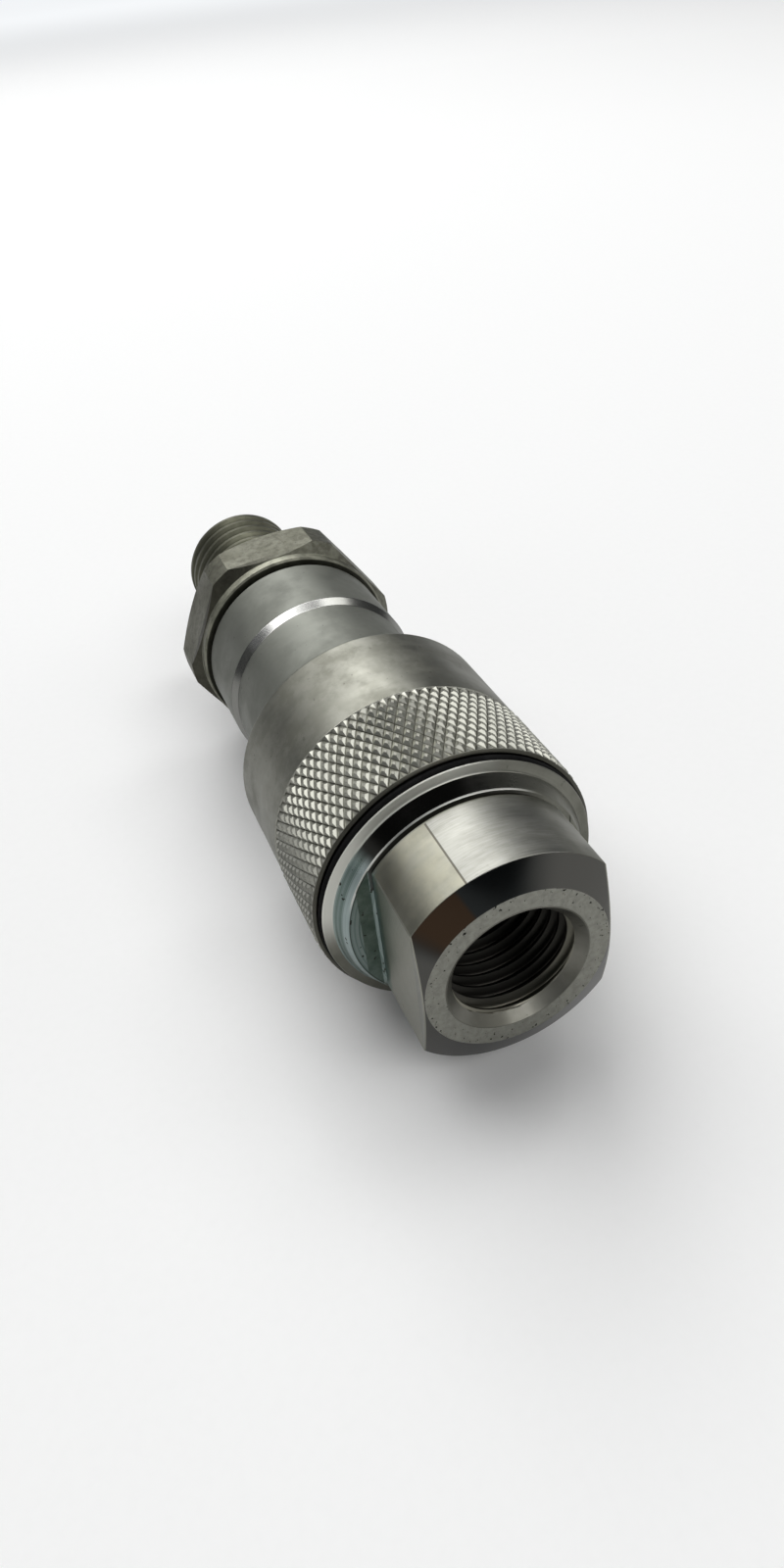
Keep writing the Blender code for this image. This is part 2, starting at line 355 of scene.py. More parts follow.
def close_thread(name, low, high, surface, walls):
    """Joins a thread surface to the plain walls that run from its high end back to its low end."""
    points, faces = surface
    radii = np.linalg.norm(points[:, 1:], axis=1) / MM
    turn = angles()

    def end_ring(end):
        near = np.abs(points[:, 0] / MM - end) < 1e-6
        theta = np.arctan2(points[near, 2], points[near, 1]) % (2 * math.pi)
        index = np.rint(theta / (2 * math.pi / SEGMENTS)).astype(int) % SEGMENTS
        ring = np.zeros(SEGMENTS)
        ring[index] = radii[near]
        return ring_points(end, ring, turn)

    plain = [ring_points(x, r, turn) for x, r in rounded(walls, closed=False)]
    rows = np.array([end_ring(high), *plain, end_ring(low)])
    more = grid_faces(len(rows), SEGMENTS, start=len(points))
    piece = finish_mesh(name, np.concatenate([points, rows.reshape(-1, 3)]), faces + more)
    weigh_normals(piece, sharp_degrees=34)
    return piece


def knurled(name, outline_before, outline_after):
    """A sleeve whose outside has a diamond knurl between two turned stretches.

    The grooves cross at every other point of a grid of rows and columns. Each diamond between
    four crossings rises to a small parallelogram, and the first and last rows are half diamonds.
    """
    columns = 2 * KNURL_COUNT
    turn = angles(columns)
    low_r = KNURL_R - KNURL_DEPTH
    step = (KNURL_END - KNURL_START) / KNURL_ROWS
    points = []
    faces = []

    def add(x, radius, at):
        points.append(tuple(ring_points(x, radius, at)))
        return len(points) - 1

    crossing = {}
    for row in range(KNURL_ROWS + 1):
        for column in range(columns):
            x = KNURL_START + row * step
            if (row + column) % 2:
                crossing[row, column] = add(x, low_r, turn[column])
            elif row in (0, KNURL_ROWS):
                crossing[row, column] = add(x, BAND_R, turn[column])
    for row in range(KNURL_ROWS + 1):
        for column in range(row % 2, columns, 2):
            right = (column + 1) % columns
            left = (column - 1) % columns
            if row in (0, KNURL_ROWS):
                centre = crossing[row, column]
                inner = crossing[row + (1 if row == 0 else -1), column]
                faces.append((centre, crossing[row, right], inner))
                faces.append((centre, inner, crossing[row, left]))
                continue
            corners = [(row + 1, column), (row, right), (row - 1, column), (row, left)]
            half = KNURL_FLAT / 2
            flat = []
            for along, across in ((-half, -half), (-half, half), (half, half), (half, -half)):
                at = turn[column] + (across - along) * 2 * math.pi / columns
                x = KNURL_START + row * step - (across + along) * step
                flat.append(add(x, KNURL_R, at))
            faces.append(tuple(flat))
            for side in range(4):
                after = (side + 1) % 4
                faces.append(
                    (crossing[corners[side]], crossing[corners[after]], flat[after], flat[side])
                )
    first = [crossing[0, column] for column in range(columns)]
    last = [crossing[KNURL_ROWS, column] for column in range(columns)]
    outline = [(KNURL_END, low_r), *outline_after, *outline_before, (KNURL_START, low_r)]
    outline = rounded(outline, size=SOFT, closed=False)[1:-1]
    start = len(points)
    rings = [ring_points(x, r, turn) for x, r in outline]
    points.extend(tuple(point) for ring in rings for point in ring)
    faces += grid_faces(len(rings), columns, start=start)
    end = start + (len(rings) - 1) * columns
    for column in range(columns):
        beside = (column + 1) % columns
        faces.append((last[column], last[beside], start + beside, start + column))
        faces.append((first[column], first[beside], end + beside, end + column))
    piece = finish_mesh(name, points, faces)
    weigh_normals(piece, sharp_degrees=20)
    return piece


def coil(name, x_low, x_high, mean_r, wire_r, turns):
    """A compression spring of round wire."""
    per_turn = 48
    count = int(turns * per_turn) + 1
    data = bpy.data.curves.new(name, "CURVE")
    data.dimensions = "3D"
    data.bevel_depth = wire_r * MM
    data.bevel_resolution = 4
    data.use_fill_caps = True
    spline = data.splines.new("POLY")
    spline.points.add(count - 1)
    for index, point in enumerate(spline.points):
        part = index / (count - 1)
        turn = part * turns * 2 * math.pi
        along = x_low + part * (x_high - x_low)
        across = mean_r * math.sin(turn)
        up = mean_r * math.cos(turn)
        point.co = (along * MM, across * MM, up * MM, 1.0)
    return add_object(name, data)


def seal_ring(name, node):
    """A round-section ring in the place of its CAD node."""
    low, high, radius = span(node)
    wire = (high - low) / 2
    outline = []
    for turn in angles(20):
        across = radius - wire + wire * math.sin(turn)
        outline.append(((low + high) / 2 + wire * math.cos(turn), across))
    return turned(name, outline, size=0.001)


# ---------------- materials


class Shader:
    """A material's node tree, with short names for the nodes it is made of.

    x, y, z and radius are the surface point's place in metres. turn is its angle from +Z
    towards +Y, one millimetre standing for one degree, so that zone takes it as it takes x.
    """

    def __init__(self, name):
        self.material = bpy.data.materials.new(name)
        self.material.use_nodes = True
        self.tree = self.material.node_tree
        self.surface = self.tree.nodes["Principled BSDF"]
        self.place = self.node("TexCoord").outputs["Object"]
        split = self.node("SeparateXYZ", Vector=self.place)
        self.x, self.y, self.z = split.outputs
        self.radius = self.length(self.y, self.z)
        degree = MM * 180 / math.pi
        self.turn = self.both(self.math("ARCTAN2", self.y, self.z), degree)

    def put(self, socket, value):
        """Links a node's output to the socket, or sets the socket to a plain value."""
        if isinstance(value, bpy.types.NodeSocket):
            self.tree.links.new(value, socket)
        else:
            socket.default_value = value

    def node(self, kind, **values):
        """A new node of this kind, with these values put in the inputs of these names."""
        made = self.tree.nodes.new("ShaderNode" + kind)
        for name, value in values.items():
            self.put(made.inputs[name], value)
        return made

    def math(self, operation, a, b=0.0):
        node = self.node("Math")
        node.operation = operation
        self.put(node.inputs[0], a)
        self.put(node.inputs[1], b)
        return node.outputs[0]

    def length(self, a, b):
        return self.math("SQRT", self.math("ADD", self.both(a, a), self.both(b, b)))

    def vector(self, x, y, z):
        return self.node("CombineXYZ", X=x, Y=y, Z=z).outputs[0]

    def rings(self, fine, round_scale):
        """A place that changes fast along x and radius, and slowly round the axis."""
        along = self.both(self.math("ADD", self.x, self.radius), fine)
        y = self.both(self.math("DIVIDE", self.y, self.radius), round_scale)
        z = self.both(self.math("DIVIDE", self.z, self.radius), round_scale)
        return self.vector(along, y, z)

    def noise(self, place, scale, detail=3.0, roughness=0.55):
        node = self.node("TexNoise", Vector=place, Scale=scale, Detail=detail, Roughness=roughness)
        return node.outputs["Fac"]

    def between(self, value, low, high, out_low=0.0, out_high=1.0):
        """A smooth step of value from low to high, taken to the range out_low to out_high."""
        node = self.node("MapRange")
        node.interpolation_type = "SMOOTHSTEP"
        for socket, setting in zip(node.inputs, (value, low, high, out_low, out_high)):
            self.put(socket, setting)
        return node.outputs[0]

    def zone(self, value, low, high, soft_low=0.03, soft_high=0.03):
        """1 from low to high, in millimetres (or degrees, on turn), 0 outside."""
        rise = self.between(value, (low - soft_low) * MM, low * MM)
        fall = self.between(value, high * MM, (high + soft_high) * MM, 1.0, 0.0)
        return self.both(rise, fall)

    def where(self, x=None, radius=None, turn=None):
        """1 inside these zones of x and radius in millimetres and of turn in degrees."""
        mask = 1.0
        for value, ends in ((self.x, x), (self.radius, radius), (self.turn, turn)):
            if ends:
                mask = self.both(mask, self.zone(value, *ends))
        return mask

    def both(self, a, b):
        """The product: of two masks, where both are 1."""
        return self.math("MULTIPLY", a, b)

    def blend(self, factor, a, b):
        """A number that goes from a to b as factor goes from 0 to 1."""
        return self.math("ADD", self.both(self.math("SUBTRACT", b, a), factor), a)

    def mix(self, factor, a, b, blend="MIX"):
        """A colour that goes from a to b as factor goes from 0 to 1."""
        node = self.node("Mix")
        node.data_type = "RGBA"
        node.blend_type = blend
        self.put(node.inputs[0], factor)
        self.put(node.inputs[6], (*a, 1.0) if isinstance(a, tuple) else a)
        self.put(node.inputs[7], (*b, 1.0) if isinstance(b, tuple) else b)
        return node.outputs[2]

    def bump(self, height, distance, strength=1.0, normal=None):
        node = self.node("Bump", Strength=strength, Distance=distance * MM, Height=height)
        if normal is not None:
            self.put(node.inputs["Normal"], normal)
        return node.outputs[0]

    def finish(self, color, roughness, normal=None, metallic=1.0):
        self.put(self.surface.inputs["Base Color"], color)
        self.surface.inputs["Metallic"].default_value = metallic
        self.put(self.surface.inputs["Roughness"], roughness)
        if normal is not None:
            self.put(self.surface.inputs["Normal"], normal)
        return self.material


def machined(
    made, color, tint, rough, spread=0.08, ring_depth=0.004, pits=0.3, calm=0.0, lines=0.4
):
    """Turned and zinc-plated steel: fine rings, cloudy plating and a few dark pits.

    The plating's clouds go from color to tint, and its gloss is within spread of rough. Where
    calm is 1 the surface is left polished, and lines is the rings' share of the gloss.
    Returns colour, roughness and normal.
    """
    fine = made.noise(made.rings(9000.0, 1.6), 1.0, 4.0, 0.65)
    wide = made.noise(made.rings(1400.0, 0.8), 1.0, 2.0)
    cloud = made.noise(made.place, 190.0, 4.0, 0.6)
    grain = made.noise(made.place, 2600.0, 2.0)
    color_now = made.mix(made.between(cloud, 0.35, 0.68), color, tint)
    shade = made.between(wide, 0.3, 0.7, 1.0 - 0.2 * lines, 1.0 + 0.12 * lines)
    color_now = made.mix(1.0, color_now, made.vector(shade, shade, shade), "MULTIPLY")
    speck = made.noise(made.place, 1500.0, 2.0, 0.4)
    pit = made.between(speck, 0.72, 0.75, 0.0, pits)
    color_now = made.mix(pit, color_now, (0.03, 0.028, 0.02))
    uneven = made.math("ADD", made.both(cloud, 1.0 - lines), made.both(fine, lines))
    rough_now = made.between(uneven, 0.3, 0.7, rough - spread, rough + spread)
    rougher = made.math("SUBTRACT", 1.0, calm)
    rings = made.bump(fine, ring_depth, rougher)
    normal = made.bump(grain, ring_depth * 0.7, rougher, rings)
    made.surface.inputs["Anisotropic"].default_value = 0.3
    tangent = made.node("Tangent")
    tangent.direction_type = "RADIAL"
    tangent.axis = "X"
    made.put(made.surface.inputs["Tangent"], tangent.outputs[0])
    return color_now, rough_now, normal


def paint_cylinder(made, color):
    """A painted highlight in bright streaks on one side of the scribed line, yellow plating on the
    other.
    """
    along = (1.3, 9.9)
    # painted highlight: a paler streaked patch between these turns, on the cylinder's top
    painted_highlight = made.where(x=along, turn=(-22, SCRIBE_DEG, 14, 0.3))
    streaks = made.noise(made.rings(5200.0, 5.0), 1.0, 3.0, 0.7)
    painted_highlight = made.both(painted_highlight, made.between(streaks, 0.3, 0.7, 0.4, 1.0))
    color = made.mix(painted_highlight, color, (0.31, 0.31, 0.285))
    yellow = made.where(x=along, turn=(SCRIBE_DEG, 48, 0.3, 8))
    blotch = made.between(made.noise(made.place, 420.0, 4.0, 0.65), 0.35, 0.65, 0.3, 0.8)
    color = made.mix(made.both(yellow, blotch), color, (0.3, 0.292, 0.23))
    line = made.where(x=along, turn=(SCRIBE_DEG - 0.3, SCRIBE_DEG + 0.3, 0.3, 0.3))
    return made.mix(made.both(line, 0.8), color, (0.05, 0.045, 0.035))


def paint_face(made, color, rough):
    """The matt end face, with small nicks towards its outer edge."""
    face = made.where(x=(-1, 0.03))
    mottle = made.noise(made.place, 1300.0, 4.0, 0.7)
    matt = made.mix(made.between(mottle, 0.25, 0.75), (0.28, 0.28, 0.245), (0.4, 0.4, 0.35))
    nick = made.noise(made.place, 2300.0, 2.0, 0.5)
    near_edge = made.between(made.radius, 7.6 * MM, 9.2 * MM, 0.0, 0.055)
    nick = made.between(made.math("ADD", nick, near_edge), 0.69, 0.72)
    matt = made.mix(nick, matt, (0.02, 0.018, 0.015))
    return made.mix(face, color, matt), made.blend(face, rough, 0.48)


def paint_chamfer(made, chamfer, color, rough):
    """The burnished chamfer: a painted reflection, almost black, browner one way round and greyer the
    other.
    """
    # painted reflection: near black, paler grey round one side and brown at another turn
    grey = made.between(made.turn, -26 * MM, 2 * MM, 1.0, 0.0)
    brown = made.where(turn=(26, 44, 3, 14))
    grey = made.math("ADD", grey, made.between(made.turn, 48 * MM, 62 * MM, 0.0, 0.8))
    painted_reflection = made.mix(grey, (0.03, 0.033, 0.033), (0.12, 0.118, 0.108))
    painted_reflection = made.mix(brown, painted_reflection, (0.055, 0.035, 0.022))
    return made.mix(chamfer, color, painted_reflection), made.blend(chamfer, rough, 0.1)


def paint_cone(made, color, rough):
    """The cone behind the flats with a painted dark reflection, and the satin rim behind it with a
    painted highlight.
    """
    # painted dark reflection on the cone, over part of the way round
    cone_dark_reflection = made.where(x=(10.3, 12.12), radius=(12.61, 13.4), turn=(-8, 44, 34, 26))
    color = made.mix(cone_dark_reflection, color, (0.022, 0.022, 0.02))
    rough = made.blend(cone_dark_reflection, rough, 0.2)
    # painted highlight on the satin rim, over part of the way round
    rim = (CONE_END - 0.01, RIM_X - 0.04)
    rim = made.where(x=rim, radius=(13.4, 14.6), turn=(2, 80, 26, 20))
    color = made.mix(rim, color, (0.86, 0.86, 0.79))
    return color, made.blend(rim, rough, 0.52)


def runout_tint(made):
    """The bluish plating where the flats run out: arcs left by the mill, a ring of painted highlight, a
    ring of painted dark reflection, and spots.
    """
    arcs = made.between(made.noise(made.rings(6000.0, 0.2), 1.0, 2.0), 0.35, 0.65)
    tint = made.mix(arcs, (0.15, 0.215, 0.198), (0.32, 0.395, 0.38))
    wide = made.math("ABSOLUTE", made.y)
    milled = made.zone(wide, 9.82, FLAT_STEP, 0.05, 0.02)
    milled = made.both(milled, made.where(x=(10.3, CONE_START)))
    chatter = made.between(made.noise(made.vector(made.y, 0.0, made.z), 700.0, 3.0, 0.6), 0.3, 0.7)
    green = made.mix(chatter, (0.09, 0.14, 0.118), (0.18, 0.24, 0.208))
    tint = made.mix(milled, tint, green)
    # painted highlight: a pale ring on the edge above the groove
    pale = made.where(radius=(12.48, 12.86))
    tint = made.mix(made.both(pale, 0.7), tint, (0.46, 0.55, 0.55))
    # painted dark reflection: a dark ring in the groove
    dark = made.where(x=(10.3, 12), radius=(12.36, 12.44))
    tint = made.mix(made.both(dark, 0.75), tint, (0.03, 0.035, 0.03))
    spots = made.between(made.noise(made.place, 1700.0, 1.0), 0.7, 0.73)
    return made.mix(spots, tint, (0.02, 0.025, 0.02))


def paint_shoulder(made, color, rough):
    """The shoulder behind the flats: cone and rim, the flats' runout, a painted dark reflection in the
    groove and a painted highlight on the edge.
    """
    color, rough = paint_cone(made, color, rough)
    runout = made.where(x=(9.6, 12.3), radius=(5.0, 13.45), turn=(56, 124, 12, 12))
    color = made.mix(made.both(runout, 0.88), color, runout_tint(made))
    # painted dark reflection in the groove, over part of the way round
    groove = made.where(x=(10.15, 10.5), radius=(11.0, 12.44), turn=(-20, 58, 30, 10))
    color = made.mix(made.both(groove, 0.85), color, (0.03, 0.028, 0.024))
    # painted highlight along the edge, over part of the way round
    edge = made.where(x=(10.42, 10.66), radius=(12.49, 12.58), turn=(-20, 66, 20, 10))
    return made.mix(made.both(edge, 0.85), color, (0.8, 0.8, 0.75)), rough


def port_steel():
    """The port body, its areas painted one after the other over turned and plated steel."""
    made = Shader("port_steel")
    chamfer = made.where(x=(0.04, CHAMFER_END - 0.03), radius=(PORT_FACE_R - 0.05, 13.0))
    color, rough, normal = machined(made, OLIVE, OLIVE_DARK, 0.38, calm=chamfer)
    color = paint_cylinder(made, color)
    color, rough = paint_face(made, color, rough)
    color, rough = paint_chamfer(made, chamfer, color, rough)
    flat = made.zone(made.math("ABSOLUTE", made.y), FLAT_HALF - 0.1, FLAT_HALF + 0.03)
    flat = made.both(flat, made.where(x=(0.05, 10.2)))
    color = made.mix(made.both(flat, 0.9), color, (0.38, 0.38, 0.325))
    # painted shadow on the flat's end, where it runs up to the wall
    flat_end_shadow = made.both(flat, made.zone(made.x, 9.3, 11.0, 0.8, 0.1))
    color = made.mix(made.both(flat_end_shadow, 0.8), color, (0.2, 0.25, 0.21))
    color, rough = paint_shoulder(made, color, rough)
    return made.finish(color, rough, normal)


def thread_steel():
    """The female thread: satin countersink, and flanks painted darker deeper in as painted shade."""
    made = Shader("thread_steel")
    color, rough, normal = machined(made, (0.24, 0.236, 0.205), (0.17, 0.167, 0.14), 0.4, lines=0.7)
    lip = made.between(made.x, 0.9 * MM, 1.1 * MM)
    color = made.mix(lip, color, (0.3, 0.29, 0.235))
    # painted shade: the flanks grow dark deeper into the bore
    depth = made.between(made.x, 1.5 * MM, 3.2 * MM)
    color = made.mix(depth, color, (0.05, 0.048, 0.042))
    rough = made.blend(depth, rough, 0.4)
    return made.finish(color, rough, normal)


def sleeve_steel():
    """The sleeve: cloudy satin band, knurl with dark grooves, black rear edge."""
    made = Shader("sleeve_steel")
    color, rough, normal = machined(made, OLIVE, OLIVE_DARK, 0.4, ring_depth=0.002, pits=0.4, lines=0.2)
    cloudy = made.noise(made.place, 420.0, 5.0, 0.7)
    cloudy = made.between(cloudy, 0.42, 0.62, 0.0, 0.5)
    color = made.mix(cloudy, color, OLIVE_PALE)
    inside = made.where(x=(KNURL_START - 0.02, KNURL_END + 0.05))
    color = made.mix(inside, color, (0.42, 0.42, 0.37))
    rough = made.blend(inside, rough, 0.36)
    tips = made.between(made.radius, (KNURL_R - 0.05) * MM, (KNURL_R - 0.02) * MM)
    tips = made.both(inside, tips)
    color = made.mix(tips, color, OLIVE_PALE)
    rough = made.blend(tips, rough, 0.55)
    # darker in the knurl's grooves, in patches
    groove = made.between(made.radius, (KNURL_R - 0.29) * MM, (KNURL_R - 0.21) * MM, 1.0, 0.0)
    patchy = made.between(made.noise(made.place, 700.0, 3.0), 0.3, 0.7, 0.6, 1.0)
    grooves_and_rear_edge_dark = made.both(made.both(groove, inside), patchy)
    # the rear edge made almost black
    edge = made.both(made.where(x=(SLEEVE_REAR - 1, KNURL_START - 0.1)), 0.75)
    grooves_and_rear_edge_dark = made.math("MAXIMUM", grooves_and_rear_edge_dark, edge)
    color = made.mix(grooves_and_rear_edge_dark, color, (0.05, 0.048, 0.036))
    rough = made.blend(grooves_and_rear_edge_dark, rough, 0.5)
    return made.finish(color, rough, normal)


def plug_steel():
    """The plug body: smooth clouded plating and a polished ramp between its two diameters, with a
    painted highlight on part of the ramp.
    """
    made = Shader("plug_steel")
    color, rough, normal = machined(
        made, (0.225, 0.232, 0.205), (0.185, 0.191, 0.168), 0.52, ring_depth=0.0006, lines=0.08
    )
    ramp = made.where(x=(RING_X, RING_END))
    color = made.mix(made.both(ramp, 0.8), color, (0.3, 0.3, 0.28))
    # painted highlight on the ramp, over part of the way round
    painted_highlight = made.both(ramp, made.where(turn=(12, 40, 30, 8)))
    color = made.mix(painted_highlight, color, (0.68, 0.68, 0.655))
    rough = made.blend(ramp, rough, 0.24)
    low_edge = made.where(x=(RING_X - 0.09, RING_X))
    high_edge = made.where(x=(RING_END, RING_END + 0.09))
    edges = made.both(made.math("ADD", low_edge, high_edge), 0.6)
    color = made.mix(edges, color, (0.05, 0.05, 0.045))
    return made.finish(color, rough, normal)


def plain_machined(name, color, tint, rough, **settings):
    """Turned steel with no painted areas, for the inner pieces."""
    made = Shader(name)
    return made.finish(*machined(made, color, tint, rough, **settings))


def hexagon_steel():
    """The adapter's hexagon: dull bar stock with a rough skin, a paler turned collar, and painted shade
    on part of its front cone.
    """
    made = Shader("hexagon_steel")
    color, rough, normal = machined(
        made, (0.2, 0.2, 0.16), (0.155, 0.155, 0.12), 0.46, pits=0.7, lines=0.2
    )
    skin = made.noise(made.place, 1100.0, 5.0, 0.7)
    color = made.mix(made.between(skin, 0.35, 0.6), (0.12, 0.118, 0.092), color)
    collar = made.where(x=(COLLAR_START - 0.1, HEX_FRONT + 0.02))
    blotch = made.between(made.noise(made.place, 520.0, 4.0, 0.65), 0.35, 0.65)
    color = made.mix(collar, color, made.mix(blotch, (0.17, 0.17, 0.135), (0.3, 0.3, 0.24)))
    joint = made.where(x=(COLLAR_START - 0.2, COLLAR_START + 0.06))
    color = made.mix(made.both(joint, 0.85), color, (0.02, 0.02, 0.015))
    cone = (HEX_FRONT + 0.05, HEX_FRONT + 1.15)
    # painted shade on the cone in front of the hexagon, over part of the way round
    painted_cone_shade = made.where(x=cone, turn=(24, 170, 30, 10))
    color = made.mix(made.both(painted_cone_shade, 0.75), color, (0.04, 0.038, 0.028))
    normal = made.bump(skin, 0.08, 0.8, normal)
    return made.finish(color, rough, normal)


def stub_steel():
    """The male thread: olive plating, dark in the roots."""
    made = Shader("stub_steel")
    color, rough, normal = machined(made, (0.15, 0.15, 0.11), (0.1, 0.1, 0.073), 0.42, lines=0.2)
    root = made.between(made.radius, (STUB_ROOT_R + 0.1) * MM, (STUB_CREST_R - 0.25) * MM, 1.0, 0.0)
    color = made.mix(made.both(root, 0.85), color, (0.025, 0.025, 0.016))
    return made.finish(color, rough, normal)


def rubber():
    """Moulded black rubber with a faint grain and a dusty bloom."""
    made = Shader("seal_rubber")
    grain = made.noise(made.place, 3000.0, 3.0)
    bloom = made.noise(made.place, 240.0, 3.0)
    color = made.mix(made.between(bloom, 0.4, 0.75), (0.003, 0.003, 0.003), (0.007, 0.007, 0.007))
    rough = made.between(grain, 0.3, 0.7, 0.75, 0.95)
    made.surface.inputs["Specular IOR Level"].default_value = 0.12
    return made.finish(color, rough, made.bump(grain, 0.004), metallic=0.0)


def polymer():
    """The backup ring's pale, waxy polymer."""
    made = Shader("backup_polymer")
    grain = made.noise(made.place, 1800.0, 3.0)
    cloud = made.noise(made.place, 300.0, 2.0)
    color = made.mix(made.between(cloud, 0.35, 0.65), (0.78, 0.77, 0.7), (0.68, 0.66, 0.58))
    rough = made.between(grain, 0.3, 0.7, 0.35, 0.5)
    return made.finish(color, rough, made.bump(grain, 0.003), metallic=0.0)


# ---------------- pieces


def place(piece, material, body, slot, *nodes):
    """Gives the piece its material and body, and hides the CAD nodes it stands for."""
    piece.data.materials.clear()
    piece.data.materials.append(material)
    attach(piece, body)
    if nodes:
        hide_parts(*nodes)


def flats_cutter():
    """The metal milled off both sides: a fillet at each flat's end, and a small step above it."""
    clear = 20
    mesh = bmesh.new()
    for side in (1, -1):
        outline = [
            (-2, FLAT_HALF), (FLATS_END - 0.2, FLAT_HALF),
            (FLATS_END + 0.05, FLAT_HALF + 0.25), (FLATS_END + 0.05, FLAT_STEP),
            (FLATS_END - 0.05, FLAT_STEP + 0.05), (FLATS_END - 0.05, clear), (-2, clear),
        ]
        add_prism(mesh, [(x, side * y) for x, y in outline], clear)
    return mesh


def make_port_body(shell_look, thread_look):
    """The threaded port with its flats, cone and collar, and its female thread as a liner."""
    outline = [
        (FACE_X, PORT_LINER_R), (FACE_X, PORT_FACE_R), (CHAMFER_END, PORT_R),
        (10.12, PORT_R), (10.2, GROOVE_R), (10.36, GROOVE_R), (10.48, 12.5),
        (CONE_START, 12.58), (CONE_END, 13.36), (CONE_END + 0.1, WALL_R),
        (RIM_X - 0.14, WALL_R + 0.9), (RIM_X, WALL_R + 1.0), (RIM_X, WALL_R + 0.15),
        (COLLAR_X, WALL_R + 0.15), (COLLAR_X, COLLAR_R),
        (COLLAR_END - 0.2, COLLAR_R), (COLLAR_END, COLLAR_R - 0.2), (COLLAR_END, POCKET_R),
        (POCKET_X, POCKET_R), (POCKET_X, SPIGOT_R), (18.0, SPIGOT_R),
        (18.0, 9.6), (BORE_END, 9.6), (BORE_END, PORT_LINER_R),
    ]
    shell = turned("port_shell", outline)
    cut(shell, flats_cutter(), edge=0.05)
    place(shell, shell_look, "socket", "zinc_plated_steel", "port_body")

    def countersunk(along, radius):
        runout = np.maximum(0, along - MOUTH_DEPTH) * 2.2
        thread = np.minimum(radius, PORT_CREST_R + 0.08 + runout)
        return np.maximum(thread, MOUTH_R - along * 0.96)

    radii = (PORT_PITCH, PORT_CREST_R, PORT_ROOT_R)
    surface = thread_surface(FACE_X, BORE_END, *radii, PORT_SHAPE, countersunk)
    walls = [(BORE_END, PORT_LINER_R), (FACE_X, PORT_LINER_R)]
    thread = close_thread("port_thread", FACE_X, BORE_END, surface, walls)
    place(thread, thread_look, "socket", "zinc_plated_steel")


def make_sleeve(look):
    """The locking sleeve: ball groove and ramp inside, knurl and smooth band outside."""
    groove_r = 12.2
    front_r = 12.3
    before = [
        (31.9, front_r), (31.9, SLEEVE_BORE_R), (31.0, SLEEVE_BORE_R),
        (31.0, groove_r), (BALL_X + 0.17, groove_r), (BALL_X - 3.33, SLEEVE_BORE_R),
        (23.6, SLEEVE_BORE_R), (23.6, 12.9), (SPRING_ROOM_END, 12.9),
        (SPRING_ROOM_END, SPRING_ROOM_R), (SLEEVE_REAR, SPRING_ROOM_R),
        (SLEEVE_REAR, 14.78), (KNURL_START - 0.04, BAND_R),
    ]
    after = [
        (KNURL_END + 0.02, BAND_R), (SLEEVE_FRONT - 0.45, BAND_R), (SLEEVE_FRONT, 14.7),
        (SLEEVE_FRONT, front_r + 0.2), (SLEEVE_FRONT - 0.2, front_r),
    ]
    sleeve = knurled("sleeve_knurled", before, after)
    place(sleeve, look, "sleeve", "zinc_plated_steel", "sleeve")


def make_plug_body(look):
    """The plug body: nose with its ball groove, two outer diameters, stepped bore."""
    ball_groove_r = 7.05
    clip_groove_r = 7.9
    shoulder = 37.1
    valve_room_r = 6.0
    mouth_r = 4.2
    outline = [
        (NOSE_X, mouth_r), (NOSE_X, 7.6), (NOSE_X + 0.7, PLUG_NOSE_R),
        (BALL_X - 1.97, PLUG_NOSE_R), (BALL_X - 0.72, ball_groove_r),
        (BALL_X + 0.72, ball_groove_r), (BALL_X + 1.97, PLUG_NOSE_R),
        (shoulder, PLUG_NOSE_R), (shoulder, 10.9), (shoulder + 0.5, PLUG_R),
        (RING_X, PLUG_R), (RING_END, REAR_R),
        (PLUG_END - 0.35, REAR_R), (PLUG_END, REAR_R - 0.35), (PLUG_END, ADAPTER_R + 0.6),
        (PLUG_END - 0.5, ADAPTER_R + 0.1), (53.0, ADAPTER_R + 0.1), (53.0, PLUG_BORE_R),
        (38.75, PLUG_BORE_R), (38.75, clip_groove_r), (37.75, clip_groove_r), (37.75, PLUG_BORE_R),
        (36.0, PLUG_BORE_R), (36.0, valve_room_r), (NOSE_X + 1.6, valve_room_r),
        (NOSE_X + 1.6, 5.6), (NOSE_X + 0.2, mouth_r),
    ]
    plug = turned("plug_shell", outline)
    place(plug, look, "plug", "zinc_plated_steel", "plug_body")


def hexagon_cutter():
    """The ring of metal that is milled away round the hexagon."""
    corner = HEX_ACROSS / math.sqrt(3)
    mesh = bmesh.new()
    rings = []
    for radius in (corner, 25.0):
        for along in (HEX_FRONT - 0.05, HEX_REAR + 0.05):
            ring = []
            for index in range(6):
                turn = around_axis(HEX_CORNER_DEG + 60 * index)
                ring.append(mesh.verts.new(turn @ Vector((along * MM, 0, radius * MM))))
            rings.append(ring)
    near_in, far_in, near_out, far_out = rings
    sides = ((near_in, far_in), (far_in, far_out), (far_out, near_out), (near_out, near_in))
    for index in range(6):
        after = (index + 1) % 6
        for low, high in sides:
            mesh.faces.new((low[index], low[after], high[after], high[index]))
    bmesh.ops.recalc_face_normals(mesh, faces=mesh.faces)
    return mesh


